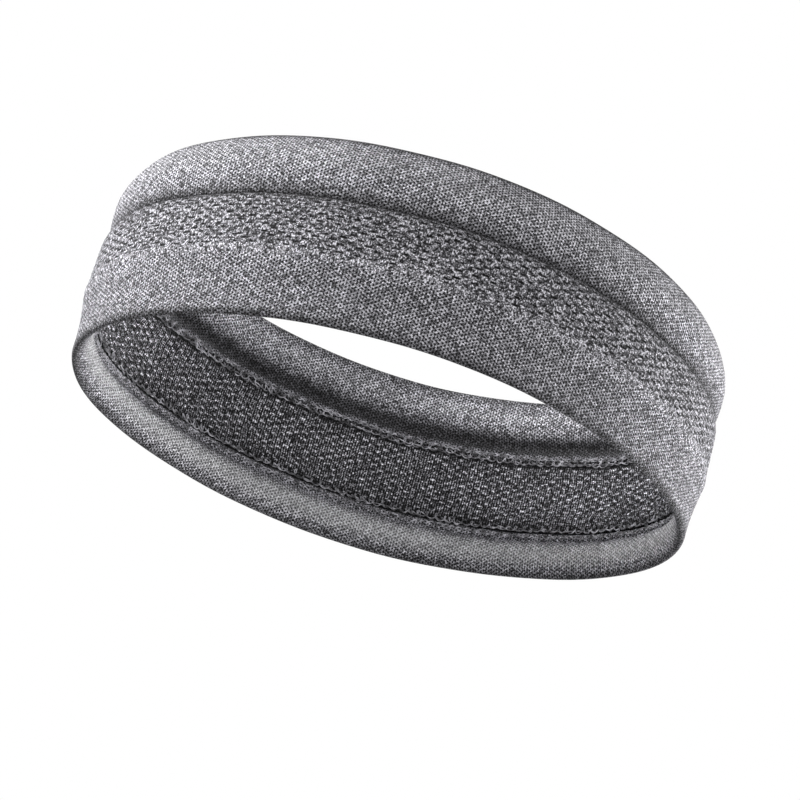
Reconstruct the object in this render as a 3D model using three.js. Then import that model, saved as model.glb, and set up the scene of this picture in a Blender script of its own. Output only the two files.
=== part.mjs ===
// Sports headband: a stretch-knit loop, as worn, standing on its lower fold.
//
// Millimetres, +Z up. The origin is the centre of the plane that the lower fold rests on,
// +X runs along the long way of the head and Y across it.
//
// Every piece is a ring of one cross-section. A section point is (out, up): `out` is the
// distance outside the centre band's outer face, so inside points are negative, and `up`
// is the height. Each fabric layer is a strip that follows a midline.

import * as THREE from 'three';

// Whole band
const LENGTH = 190; // outside the centre band, along X
const WIDTH = 151; // outside the centre band, along Y
const HEIGHT = 60; // lower fold to upper fold
const CORNER_DRAW_IN = 0.09; // how far the four quarters are drawn in from a true ellipse
const STATIONS = 52; // sections around the loop

// Heights of the hems, outside and inside
const UPPER_HEM_OUTSIDE = 21.6;
const UPPER_HEM_INSIDE = 20.95;
const LOWER_HEM_OUTSIDE = 18;
const LOWER_HEM_INSIDE = 15.4;

// Fabric layers
const JERSEY = 1.1; // hem fabric
const BAND_KNIT = 1.3; // textured centre band
const LINER_KNIT = 1.2; // basket-knit liner
const LINING_GAP = 0.75; // hollow between the centre band and the liner
const CLEARANCE = 0.3; // between pieces that lie against each other
const SEAM_TURN_IN = 1.6; // raw edge turned in behind an outside seam
const WELT_ROUNDING = 1.2; // height over which the band turns in at the welt
const GROOVE_ROUNDING = 4; // height over which the band turns in at the groove
const LINER_STEP = 4; // height over which the liner steps in over a seam

// Upper roll
const ROLL_PROUD = 0.5; // outer crest beyond the centre band
const ROLL_LEAN = 5.2; // upper fold in from the centre band's face
const ROLL_DEPTH = 7.5; // outer crest to inner crest
const ROLL_CREST_DROP = 10.5; // outer crest below the upper fold
const ROLL_INNER_DROP = 6; // inner crest below the upper fold
const ROLL_CREASE_DROP = 16.6; // crease under the roll, below the upper fold

// Lower fold
const FOLD_INSET = 2.2; // outer face of the fold in from the centre band's face
const FOLD_DEPTH = 4.2; // outer face to inner crest
const FOLD_RADIUS = 1.5; // midline radius of the fold's two corners
const FOLD_CREST_HEIGHT = 8; // inner crest above the rest plane
const SHOULDER_DROP = 1.2; // shoulder of the outer leg below its turned-in edge
const LEG_HOLLOW = 0.7; // how far the outer leg draws in below its shoulder

// Elastic tapes inside the hems, each starting a distance along its hem's outer leg
const TAPE_THICKNESS = 0.7;
const UPPER_TAPE_START = 5;
const UPPER_TAPE_WIDTH = 12;
const LOWER_TAPE_START = 0.5;
const LOWER_TAPE_WIDTH = 7;

// Seam threads on the inner face
const LOOP_ROW_HEIGHT = 1.9;
const LOOP_ROW_DEPTH = 0.6;
const CHAIN_DIAMETER = 0.5;
const CHAIN_SIDES = 6;

// Heights of the seams
const grooveHeight = HEIGHT - UPPER_HEM_OUTSIDE;
const upperSeamHeight = HEIGHT - UPPER_HEM_INSIDE;
const weltHeight = LOWER_HEM_OUTSIDE;
const lowerSeamHeight = LOWER_HEM_INSIDE;

// Everything on the inside seats on the ends of the turned-in edges
const turnInEnd = -BAND_KNIT - SEAM_TURN_IN;
const seatFace = turnInEnd - CLEARANCE;
const jerseySeat = seatFace - JERSEY / 2;
const linerSeat = seatFace - LINER_KNIT / 2;

// Point on the centre band's outer face at an angle around the loop
function facePoint(angle) {
  const across = Math.sin(angle) * (1 - CORNER_DRAW_IN * Math.cos(angle) ** 2);
  return new THREE.Vector2(LENGTH / 2 * Math.cos(angle), WIDTH / 2 * across);
}

// Unit vector straight out of the face at an angle around the loop
function faceNormal(angle) {
  const cos = Math.cos(angle);
  const sin = Math.sin(angle);
  const acrossSlope = cos * (1 - CORNER_DRAW_IN * cos ** 2) + 2 * CORNER_DRAW_IN * cos * sin ** 2;
  const tangent = new THREE.Vector2(-LENGTH / 2 * sin, WIDTH / 2 * acrossSlope);
  return new THREE.Vector2(tangent.y, -tangent.x).normalize();
}

// Closed ring of a section: a turned ring, with each of its points moved onto the head's oval
function ringGeometry(section) {
  const radius = LENGTH / 2;
  const outline = THREE.ShapeUtils.area(section) < 0 ? [...section].reverse() : [...section];
  outline.push(outline[0]);
  const profile = outline.map((point) => new THREE.Vector2(radius + point.x, point.y));
  const geometry = new THREE.LatheGeometry(profile, STATIONS);
  const positions = geometry.getAttribute('position');
  for (let index = 0; index < positions.count; index += 1) {
    const angle = Math.atan2(positions.getX(index), positions.getZ(index));
    const out = Math.hypot(positions.getX(index), positions.getZ(index)) - radius;
    const place = facePoint(angle).addScaledVector(faceNormal(angle), out);
    positions.setXYZ(index, place.x, place.y, positions.getY(index));
  }
  geometry.computeVertexNormals();
  return geometry;
}

// Unit normal to the left of the step from one point to the next
function leftNormal(from, to) {
  return new THREE.Vector2(from.y - to.y, to.x - from.x).normalize();
}

// The same polyline, a distance to the left of its direction, mitred where it turns
function parallel(points, distance) {
  const last = points.length - 1;
  return points.map((point, index) => {
    const before = leftNormal(points[Math.max(index - 1, 0)], points[Math.max(index, 1)]);
    const after = leftNormal(points[Math.min(index, last - 1)], points[Math.min(index + 1, last)]);
    const middle = before.clone().add(after).normalize();
    return point.clone().addScaledVector(middle, distance / middle.dot(before));
  });
}

// Closed outline of a strip of fabric that follows a midline
function strip(midline, thickness) {
  const left = parallel(midline, thickness / 2);
  const right = parallel(midline, -thickness / 2);
  return [...left, ...right.reverse()];
}

// Points along a stretch of a path, spaced evenly
function stretch(path, start, length, steps) {
  const whole = path.getLength();
  const points = [];
  for (let step = 0; step <= steps; step += 1) {
    points.push(path.getPointAt((start + length * step / steps) / whole));
  }
  return points;
}

// Outer leg of the upper hem, from behind the groove over the outer crest to the upper fold
function upperOuterLeg() {
  const edge = grooveHeight + CLEARANCE / 2 + JERSEY / 2;
  const crestOut = ROLL_PROUD - JERSEY / 2;
  const crestUp = HEIGHT - ROLL_CREST_DROP;
  const foldUp = HEIGHT - JERSEY / 2;
  const leg = new THREE.Path();
  leg.moveTo(-BAND_KNIT, edge);
  leg.bezierCurveTo(
    -BAND_KNIT / 2, edge,
    crestOut, (edge + crestUp) / 2,
    crestOut, crestUp,
  );
  leg.bezierCurveTo(
    crestOut, (crestUp + foldUp) / 2,
    -ROLL_LEAN / 2, foldUp,
    -ROLL_LEAN, foldUp,
  );
  return leg;
}

// Inner leg of the upper hem, from the upper fold over the inner crest down to the seam
function upperInnerLeg() {
  const foldUp = HEIGHT - JERSEY / 2;
  const crestOut = ROLL_PROUD - ROLL_DEPTH + JERSEY / 2;
  const crestUp = HEIGHT - ROLL_INNER_DROP;
  const creaseUp = HEIGHT - ROLL_CREASE_DROP;
  const leg = new THREE.Path();
  leg.moveTo(-ROLL_LEAN, foldUp);
  leg.bezierCurveTo(
    (crestOut - ROLL_LEAN) / 2, foldUp,
    crestOut, (foldUp + crestUp) / 2,
    crestOut, crestUp,
  );
  leg.bezierCurveTo(
    crestOut, (crestUp + creaseUp) / 2,
    crestOut, creaseUp + JERSEY / 2,
    jerseySeat, creaseUp,
  );
  leg.lineTo(jerseySeat, upperSeamHeight + CLEARANCE / 2);
  return leg;
}

// Midline of the upper hem: a roll that is open between its two seam edges
function upperHemMidline() {
  const edge = new THREE.Vector2(turnInEnd, grooveHeight + CLEARANCE / 2 + JERSEY / 2);
  return [edge, ...upperOuterLeg().getPoints(4), ...upperInnerLeg().getPoints(4).slice(1)];
}

// Outer leg of the lower hem, from the fold up to the shoulder below its turned-in edge
function lowerOuterLeg() {
  const foldOut = -FOLD_INSET - JERSEY / 2;
  const foldUp = JERSEY / 2 + FOLD_RADIUS;
  const shoulderOut = -BAND_KNIT / 2 - JERSEY / 2;
  const shoulderUp = weltHeight - CLEARANCE / 2 - JERSEY / 2 - SHOULDER_DROP;
  const rise = shoulderUp - foldUp;
  const leg = new THREE.Path();
  leg.moveTo(foldOut, foldUp);
  leg.bezierCurveTo(
    foldOut, foldUp + rise / 3,
    shoulderOut - LEG_HOLLOW, shoulderUp - rise / 4,
    shoulderOut, shoulderUp,
  );
  return leg;
}

// Inner leg of the lower hem, from the seam over its crest and across the flat fold
function lowerInnerLeg() {
  const foldOut = -FOLD_INSET - JERSEY / 2;
  const crestOut = -FOLD_INSET - FOLD_DEPTH + JERSEY / 2;
  const flat = JERSEY / 2;
  const seamUp = lowerSeamHeight - CLEARANCE / 2;
  const seatUp = seamUp - CHAIN_DIAMETER - LOOP_ROW_HEIGHT / 2 - 2 * CLEARANCE;
  const half = (seatUp - FOLD_CREST_HEIGHT) / 2;
  const leg = new THREE.Path();
  leg.moveTo(jerseySeat, seamUp);
  leg.lineTo(jerseySeat, seatUp);
  leg.bezierCurveTo(
    jerseySeat, seatUp - half,
    crestOut, FOLD_CREST_HEIGHT + half,
    crestOut, FOLD_CREST_HEIGHT,
  );
  leg.bezierCurveTo(
    crestOut, FOLD_CREST_HEIGHT / 2,
    crestOut, flat,
    crestOut + FOLD_RADIUS / 2, flat,
  );
  leg.lineTo(foldOut - FOLD_RADIUS / 2, flat);
  leg.quadraticCurveTo(foldOut, flat, foldOut, flat + FOLD_RADIUS);
  return leg;
}

// Midline of the lower hem: a fold that is open between its two seam edges
function lowerHemMidline() {
  const top = weltHeight - CLEARANCE / 2 - JERSEY / 2;
  const tuck = new THREE.Vector2(-BAND_KNIT - JERSEY / 2, top);
  const edge = new THREE.Vector2(turnInEnd, top);
  return [...lowerInnerLeg().getPoints(2), ...lowerOuterLeg().getPoints(3).slice(1), tuck, edge];
}

// Midline of the centre band: a plain wall whose two edges are turned in at the seams
function centreBandMidline() {
  const half = BAND_KNIT / 2;
  const bottom = weltHeight + CLEARANCE / 2 + half;
  const top = grooveHeight - CLEARANCE / 2 - half;
  const wall = new THREE.Path();
  wall.moveTo(turnInEnd, bottom);
  wall.lineTo(-BAND_KNIT, bottom);
  wall.quadraticCurveTo(-half, bottom, -half, bottom + WELT_ROUNDING);
  wall.lineTo(-half, top - GROOVE_ROUNDING);
  wall.quadraticCurveTo(-half, top, -BAND_KNIT - half, top);
  wall.lineTo(turnInEnd, top);
  return wall.getPoints(2);
}

// Midline of the liner: close behind the centre band, stepping in over the turned-in edges
function linerMidline() {
  const wallOut = -BAND_KNIT - LINING_GAP - LINER_KNIT / 2;
  const stepStart = weltHeight + CLEARANCE / 2 + BAND_KNIT + CLEARANCE;
  const stepEnd = grooveHeight - CLEARANCE / 2 - BAND_KNIT - CLEARANCE;
  const wall = new THREE.Path();
  wall.moveTo(linerSeat, lowerSeamHeight + CLEARANCE / 2);
  wall.lineTo(linerSeat, stepStart);
  wall.bezierCurveTo(
    linerSeat, stepStart + LINER_STEP / 2,
    wallOut, stepStart + LINER_STEP / 2,
    wallOut, stepStart + LINER_STEP,
  );
  wall.lineTo(wallOut, stepEnd - LINER_STEP);
  wall.bezierCurveTo(
    wallOut, stepEnd - LINER_STEP / 2,
    linerSeat, stepEnd - LINER_STEP / 2,
    linerSeat, stepEnd,
  );
  wall.lineTo(linerSeat, upperSeamHeight - CLEARANCE / 2);
  return wall.getPoints(2);
}

// Elastic tape that lies against the inside of a hem's outer leg, from a distance along it
function tapeSection(leg, start, width) {
  const inset = JERSEY / 2 + CLEARANCE + TAPE_THICKNESS / 2;
  return strip(parallel(stretch(leg, start, width, 3), inset), TAPE_THICKNESS);
}

// Row of thread loops, as one flat ribbon centred over a seam
function loopRowSection(seamHeight) {
  const face = seatFace - Math.max(JERSEY, LINER_KNIT) - CLEARANCE;
  const middle = face - LOOP_ROW_DEPTH / 2;
  const ends = [-0.5, 0.5].map((share) => new THREE.Vector2(middle, seamHeight + share * LOOP_ROW_HEIGHT));
  return strip(ends, LOOP_ROW_DEPTH);
}

// Straight chain thread beside a row of loops, on the hem's side of the seam
function chainSection(seamHeight, side) {
  const radius = CHAIN_DIAMETER / 2;
  const out = seatFace - JERSEY - CLEARANCE - radius;
  const up = seamHeight + side * (LOOP_ROW_HEIGHT / 2 + CLEARANCE + radius);
  const points = [];
  for (let corner = 0; corner < CHAIN_SIDES; corner += 1) {
    const angle = 2 * Math.PI * corner / CHAIN_SIDES;
    points.push(new THREE.Vector2(out + radius * Math.cos(angle), up + radius * Math.sin(angle)));
  }
  return points;
}

// Fabric finishes
function knit(color, roughness) {
  return new THREE.MeshStandardMaterial({ color, roughness, metalness: 0 });
}

const elastic = knit(0xd8d8d6, 0.8);
const thread = knit(0x96959a, 0.75);

const headband = new THREE.Group();

function addPiece(name, section, material) {
  const mesh = new THREE.Mesh(ringGeometry(section), material);
  mesh.name = name;
  headband.add(mesh);
}

addPiece('top_hem', strip(upperHemMidline(), JERSEY), knit(0x8a898e, 0.9));
addPiece('centre_band', strip(centreBandMidline(), BAND_KNIT), knit(0x6f6e73, 0.95));
addPiece('bottom_hem', strip(lowerHemMidline(), JERSEY), knit(0x77767b, 0.9));
addPiece('sweat_liner', strip(linerMidline(), LINER_KNIT), knit(0x454449, 0.97));
addPiece('top_elastic', tapeSection(upperOuterLeg(), UPPER_TAPE_START, UPPER_TAPE_WIDTH), elastic);
addPiece('bottom_elastic', tapeSection(lowerOuterLeg(), LOWER_TAPE_START, LOWER_TAPE_WIDTH), elastic);
addPiece('upper_seam_loops', loopRowSection(upperSeamHeight), thread);
addPiece('upper_seam_chain', chainSection(upperSeamHeight, 1), thread);
addPiece('lower_seam_loops', loopRowSection(lowerSeamHeight), thread);
addPiece('lower_seam_chain', chainSection(lowerSeamHeight, -1), thread);

export default headband;
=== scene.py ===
"""Looks of a stretch-knit sports headband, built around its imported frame, in metres.

Every fabric piece is a ring of one cross-section, turned by bmesh's spin and laid on the oval of a head.
A profile point is (out, up): its distance outside the centre band's face, and its height.
"""

import logging
import math
from dataclasses import dataclass, field
from enum import Enum

import bmesh
import bpy
import numpy as np
from mathutils import Matrix, Vector


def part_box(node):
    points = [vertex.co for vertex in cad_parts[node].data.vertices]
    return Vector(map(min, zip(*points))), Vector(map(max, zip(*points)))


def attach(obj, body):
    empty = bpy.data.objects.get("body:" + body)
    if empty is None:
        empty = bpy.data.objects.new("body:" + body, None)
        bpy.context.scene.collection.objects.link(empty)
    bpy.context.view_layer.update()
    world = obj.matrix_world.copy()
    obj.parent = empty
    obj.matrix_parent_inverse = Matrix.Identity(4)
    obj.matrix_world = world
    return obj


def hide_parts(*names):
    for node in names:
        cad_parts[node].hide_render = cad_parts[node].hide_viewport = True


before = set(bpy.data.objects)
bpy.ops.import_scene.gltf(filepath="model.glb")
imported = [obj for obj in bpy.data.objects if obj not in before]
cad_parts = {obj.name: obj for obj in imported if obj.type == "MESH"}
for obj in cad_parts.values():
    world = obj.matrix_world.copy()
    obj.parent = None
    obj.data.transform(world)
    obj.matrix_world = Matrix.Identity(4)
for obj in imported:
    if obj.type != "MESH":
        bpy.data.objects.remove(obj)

LOG = logging.getLogger("headband")
MM = 0.001
STITCH_MAP = "Stitches"
BAKE_MAP = "OFBake"
# Vertex attribute of painted shade: a colour factor, below 1 darker in folds, above 1 a painted highlight on
# crests.
PAINTED_SHADE_ATTRIBUTE = "PaintedShade"
ALONG = "along"
SECTORS = 16  # A ring is spun as one sector, which is then repeated.
MERGE = 2e-6  # Points nearer than this are joined, in metres.
CHAIN_FROM_SEAM = 1.8  # Distance of a chain stitch from its seam, in millimetres.


class Slot(Enum):
    """Material slots of the record."""

    HEM = "hem_jersey"
    BAND = "band_knit"
    LINER = "liner_knit"
    ELASTIC = "elastic_tape"
    THREAD = "seam_thread"


@dataclass(frozen=True)
class Anchors:
    """Places that every piece shares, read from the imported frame, in metres."""

    half_length: float
    half_width: float
    top: float
    groove: float
    welt: float
    upper_seam: float
    lower_seam: float
    crest_out: float
    thread_out: float

    @classmethod
    def read(cls) -> "Anchors":
        """Measures the CAD nodes.

        Returns:
            The anchors of this headband.
        """
        band_low, band_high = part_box("centre_band")
        top_low, top_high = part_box("top_hem")
        upper_low, upper_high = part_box("upper_seam_loops")
        lower_low, lower_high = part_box("lower_seam_loops")
        return cls(
            half_length=band_high.x,
            half_width=band_high.y,
            top=top_high.z,
            groove=(top_low.z + band_high.z) / 2,
            welt=(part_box("bottom_hem")[1].z + band_low.z) / 2,
            upper_seam=(upper_low.z + upper_high.z) / 2,
            lower_seam=(lower_low.z + lower_high.z) / 2,
            crest_out=top_high.x - band_high.x,
            thread_out=upper_high.x - band_high.x,
        )


class HeadOval:
    """The oval that the centre band's face follows, walked at an even pace."""

    CORNER_DRAW_IN = 0.09
    STEPS = 7200
    # Slow swings of stretched knit: millimetres, swings round the loop, and where they start, in radians.
    OUT_SWINGS = ((0.16, 5, 0.7), (0.12, 9, 2.1), (0.07, 17, 4.0))
    UP_SWINGS = ((0.14, 4, 1.3), (0.11, 11, 0.2), (0.07, 23, 3.1))

    def __init__(self, anchors: Anchors) -> None:
        """Measures the oval once.

        Args:
            anchors: Shared places of the headband.
        """
        self.anchors = anchors
        angles = np.linspace(0, 2 * math.pi, self.STEPS + 1)
        steps = np.hypot(*np.diff(self._face(angles), axis=0).T)
        self._angles = angles
        self._turns = np.concatenate([[0], np.cumsum(steps)]) / steps.sum()
        self.length = float(steps.sum())

    def _face(self, angle: np.ndarray) -> np.ndarray:
        """Points of the face at these angles, one row each."""
        across = np.sin(angle) * (1 - self.CORNER_DRAW_IN * np.cos(angle) ** 2)
        return np.stack([self.anchors.half_length * np.cos(angle), self.anchors.half_width * across], -1)

    def _outward(self, angle: np.ndarray) -> np.ndarray:
        """Directions straight out of the face.

        Args:
            angle: The oval's own angles, in radians.

        Returns:
            One unit vector for each angle.
        """
        cos, sin, draw = np.cos(angle), np.sin(angle), self.CORNER_DRAW_IN
        slope = cos * (1 - draw * cos**2) + 2 * draw * cos * sin**2
        normal = np.stack([self.anchors.half_width * slope, self.anchors.half_length * sin], -1)
        return normal / np.linalg.norm(normal, axis=-1, keepdims=True)

    @classmethod
    def _softness(cls, turn: np.ndarray, up: np.ndarray, top: float) -> tuple[np.ndarray, np.ndarray]:
        """Slow unevenness that stretched knit has.

        Args:
            turn: Share of the way round, from 0 to 1.
            up: Height above the rest plane.
            top: Height of the upper fold.

        Returns:
            A shift out, and a shift up that fades to nothing at both folds.
        """
        angle = 2 * math.pi * turn
        out, rise = (
            sum(size * np.sin(swings * angle + start) for size, swings, start in table)
            for table in (cls.OUT_SWINGS, cls.UP_SWINGS)
        )
        inside = np.clip(up / top, 0, 1)
        return out * MM, rise * 4 * inside * (1 - inside) * MM

    def place(self, turn: np.ndarray, out: np.ndarray, up: np.ndarray) -> np.ndarray:
        """Points of the headband.

        Args:
            turn: Share of the way round, from 0 to 1.
            out: Distance outside the face.
            up: Height above the rest plane.

        Returns:
            One row of x, y, z for each point.
        """
        angle = np.interp(turn, self._turns, self._angles)
        shift_out, shift_up = self._softness(turn, up, self.anchors.top)
        flat = self._face(angle) + self._outward(angle) * (out + shift_out)[:, None]
        return np.column_stack([flat, up + shift_up])


class Profile:
    """The visible line of a cross-section, drawn from straight and curved strokes, in millimetres."""

    CURVE_STEPS = 40
    LINE_STEPS = 8
    FOLD_HALF_WIDTH = 0.04
    FOLD_CLEARANCE = 0.06

    def __init__(self, out: float, up: float) -> None:
        """Starts the line.

        Args:
            out: First point's distance outside the face.
            up: First point's height.
        """
        self.points = [np.array([out, up])]
        self.corners = []

    def corner(self) -> "Profile":
        """Keeps the last point as a sharp fold when the line is spaced out."""
        self.corners.append(len(self.points) - 1)
        return self

    def line(self, out: float, up: float) -> "Profile":
        """Adds a straight stroke.

        Args:
            out: End's distance outside the face.
            up: End's height.

        Returns:
            The same profile.
        """
        start, end = self.points[-1], np.array([out, up])
        shares = np.linspace(0, 1, self.LINE_STEPS + 1)[1:]
        self.points += [start + (end - start) * share for share in shares]
        return self

    def curve(self, first: tuple, second: tuple, end: tuple) -> "Profile":
        """Adds a cubic curve.

        Args:
            first: First handle, as out, up.
            second: Second handle.
            end: Last point.

        Returns:
            The same profile.
        """
        a, b, c, d = self.points[-1], np.array(first), np.array(second), np.array(end)
        for t in np.linspace(0, 1, self.CURVE_STEPS + 1)[1:]:
            s = 1 - t
            self.points.append(s**3 * a + 3 * s * s * t * b + 3 * s * t * t * c + t**3 * d)
        return self

    def spaced(self, pitch: float, inset: float = 0.0) -> np.ndarray:
        """Evenly spaced points along the line, or along a line beside it.

        Args:
            pitch: Distance between points.
            inset: Distance to the left of the line, into the fabric.

        Returns:
            One row of out, up for each point.
        """
        points = np.array(self.points)
        slope = np.gradient(points, axis=0)
        normal = np.stack([-slope[:, 1], slope[:, 0]], -1)
        normal /= np.maximum(np.linalg.norm(normal, axis=1, keepdims=True), 1e-9)
        points = points + normal * inset
        walked = np.concatenate([[0], np.cumsum(np.hypot(*np.diff(points, axis=0).T))])
        places = np.linspace(0, walked[-1], max(2, round(walked[-1] / pitch) + 1))
        if self.corners and not inset:
            sides = (-self.FOLD_HALF_WIDTH, 0.0, self.FOLD_HALF_WIDTH)
            folds = np.array([walked[k] + side for k in self.corners for side in sides])
            places = places[np.abs(places[:, None] - folds[None]).min(1) > self.FOLD_CLEARANCE]
            places = np.sort(np.concatenate([places, folds]))
        return np.stack([np.interp(places, walked, points[:, k]) for k in (0, 1)], -1)


def put(name: str, data: bpy.types.ID) -> bpy.types.Object:
    """Adds an object to the scene.

    Args:
        name: The object's name.
        data: Its mesh, curve, light or camera.

    Returns:
        The object.
    """
    thing = bpy.data.objects.new(name, data)
    bpy.context.scene.collection.objects.link(thing)
    return thing


class Graph:
    """Builder of one material's node tree."""

    CAST = (1.0, 0.985, 1.065)
    NOISE_ROUGHNESS = 0.6
    SPECULAR = 0.25
    SHEEN_ROUGHNESS = 0.5

    def __init__(self, name: str) -> None:
        """Makes an empty material.

        Args:
            name: The material's name.
        """
        self.material = bpy.data.materials.new(name)
        self.material.use_nodes = True
        self.tree = self.material.node_tree
        self.tree.nodes.clear()

    def node(self, kind: str, **settings: object) -> bpy.types.Node:
        """Adds a node.

        Args:
            kind: The node's type.
            settings: Properties to set on it.

        Returns:
            The node.
        """
        node = self.tree.nodes.new(kind)
        for name, value in settings.items():
            setattr(node, name, value)
        return node

    def feed(self, socket: bpy.types.NodeSocket, value: object) -> None:
        """Links or sets an input.

        Args:
            socket: The input.
            value: Another node's output, or a plain value.
        """
        if isinstance(value, bpy.types.NodeSocket):
            self.tree.links.new(value, socket)
        else:
            socket.default_value = value

    def math(self, operation: str, *inputs: object) -> bpy.types.NodeSocket:
        """Adds a Math node.

        Args:
            operation: What it does.
            inputs: Sockets or numbers.

        Returns:
            The result's socket.
        """
        node = self.node("ShaderNodeMath", operation=operation)
        for socket, value in zip(node.inputs, inputs):
            self.feed(socket, value)
        return node.outputs[0]

    def add(self, *values: object) -> bpy.types.NodeSocket:
        """Adds values together.

        Args:
            values: Sockets or numbers.

        Returns:
            The sum's socket.
        """
        total = values[0]
        for value in values[1:]:
            total = self.math("ADD", total, value)
        return total

    def times(self, *values: object) -> bpy.types.NodeSocket:
        """Multiplies values.

        Args:
            values: Sockets or numbers.

        Returns:
            The product's socket.
        """
        product = values[0]
        for value in values[1:]:
            product = self.math("MULTIPLY", product, value)
        return product

    def fade(self, value: object, low: float, high: float) -> bpy.types.NodeSocket:
        """Smooth step from 0 at low to 1 at high, whichever of the two is the larger.

        Args:
            value: Where to read it.
            low: Value that gives 0.
            high: Value that gives 1.

        Returns:
            The result's socket.
        """
        node = self.node("ShaderNodeMapRange", interpolation_type="SMOOTHSTEP")
        ends = (low, high, 0.0, 1.0) if low < high else (high, low, 1.0, 0.0)
        for socket, number in zip(node.inputs[:5], (value, *ends)):
            self.feed(socket, number)
        return node.outputs[0]

    def vector(self, x: object, y: object, z: object) -> bpy.types.NodeSocket:
        """Joins three values.

        Args:
            x: First value.
            y: Second value.
            z: Third value.

        Returns:
            The vector's socket.
        """
        node = self.node("ShaderNodeCombineXYZ")
        for socket, value in zip(node.inputs, (x, y, z)):
            self.feed(socket, value)
        return node.outputs[0]

    def parts(self, vector: bpy.types.NodeSocket) -> list:
        """Takes a vector apart.

        Args:
            vector: The vector.

        Returns:
            Its three sockets.
        """
        node = self.node("ShaderNodeSeparateXYZ")
        self.feed(node.inputs[0], vector)
        return list(node.outputs)

    def stitches(self) -> list:
        """Stitch coordinates: columns round the loop, and rows along the profile."""
        node = self.node("ShaderNodeUVMap", uv_map=STITCH_MAP)
        return self.parts(node.outputs[0])[:2]

    def place(self) -> bpy.types.NodeSocket:
        """Object coordinates, in metres."""
        return self.node("ShaderNodeTexCoord").outputs["Object"]

    def noise(self, vector: bpy.types.NodeSocket, scale: float, detail: float = 2.0) -> bpy.types.NodeSocket:
        """Smooth noise about 0.5.

        Args:
            vector: Where to read it.
            scale: Swings in a metre.
            detail: Finer layers.

        Returns:
            The noise's socket.
        """
        node = self.node("ShaderNodeTexNoise")
        self.feed(node.inputs["Vector"], vector)
        self.feed(node.inputs["Scale"], scale)
        self.feed(node.inputs["Detail"], detail)
        self.feed(node.inputs["Roughness"], self.NOISE_ROUGHNESS)
        return node.outputs[0]

    def painted_shade_factor(self) -> bpy.types.NodeSocket:
        """Painted shade factor of the vertex: below 1 darkens folds, above 1 lightens crests as a painted
        highlight.
        """
        return self.node("ShaderNodeAttribute", attribute_name=PAINTED_SHADE_ATTRIBUTE).outputs["Fac"]

    def paint_shade_into(self, colour: bpy.types.NodeSocket, relief_shade: object) -> bpy.types.NodeSocket:
        """Paints shade into a colour: darker in folds, and a painted highlight, paler and more even, on
        crests.

        Args:
            colour: The yarn.
            relief_shade: Painted shade of the stitch relief, darker in its hollows and lighter on its raised
                parts.

        Returns:
            The colour's socket.
        """
        painted_shade = self.painted_shade_factor()
        shaded = self.shade(colour, self.times(relief_shade, self.math("MINIMUM", painted_shade, 1.0)))
        # Factors above 1 lift the colour through a gamma: a painted highlight on crests.
        node = self.node("ShaderNodeGamma")
        self.feed(node.inputs[0], shaded)
        self.feed(node.inputs[1], self.math("DIVIDE", 1.0, self.math("MAXIMUM", painted_shade, 1.0)))
        return node.outputs[0]

    def dice(self, x: object, y: object, seed: float) -> bpy.types.NodeSocket:
        """A fixed random number from 0 to 1 for each pair of whole numbers.

        Args:
            x: First whole number.
            y: Second whole number.
            seed: Which set of numbers.

        Returns:
            The result's socket.
        """
        node = self.node("ShaderNodeTexWhiteNoise", noise_dimensions="3D")
        self.feed(node.inputs["Vector"], self.vector(x, y, seed))
        return node.outputs["Value"]

    def ramp(self, value: object, stops: list) -> bpy.types.NodeSocket:
        """Colour ramp with the yarn's faint violet cast.

        Args:
            value: Where to read it.
            stops: Pairs of place and grey level.

        Returns:
            The colour's socket.
        """
        node = self.node("ShaderNodeValToRGB")
        while len(node.color_ramp.elements) < len(stops):
            node.color_ramp.elements.new(0.5)
        for element, (place, level) in zip(node.color_ramp.elements, stops):
            element.position = place
            element.color = (*(level * share for share in self.CAST), 1)
        self.feed(node.inputs[0], value)
        return node.outputs[0]

    def shade(self, colour: bpy.types.NodeSocket, factor: object) -> bpy.types.NodeSocket:
        """Colour times a factor.

        Args:
            colour: The colour.
            factor: Socket or number.

        Returns:
            The colour's socket.
        """
        node = self.node("ShaderNodeVectorMath", operation="SCALE")
        self.feed(node.inputs[0], colour)
        self.feed(node.inputs["Scale"], factor)
        return node.outputs[0]

    def surface(self, colour: object, height: object, depth: float, roughness: object, sheen: float) -> None:
        """Finishes the material as cloth.

        Args:
            colour: Base colour.
            height: Relief from 0 to 1.
            depth: Relief of a height of 1, in metres.
            roughness: Roughness, a socket or a number.
            sheen: Weight of the fibre sheen.
        """
        bump = self.node("ShaderNodeBump")
        self.feed(bump.inputs["Height"], height)
        bump.inputs["Distance"].default_value = depth
        bump.inputs["Strength"].default_value = 1.0
        shader = self.node("ShaderNodeBsdfPrincipled")
        self.feed(shader.inputs["Base Color"], colour)
        self.feed(shader.inputs["Roughness"], roughness)
        shader.inputs["Specular IOR Level"].default_value = self.SPECULAR
        shader.inputs["Sheen Weight"].default_value = sheen
        shader.inputs["Sheen Roughness"].default_value = self.SHEEN_ROUGHNESS
        self.tree.links.new(bump.outputs[0], shader.inputs["Normal"])
        output = self.node("ShaderNodeOutputMaterial")
        self.tree.links.new(shader.outputs[0], output.inputs[0])


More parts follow.
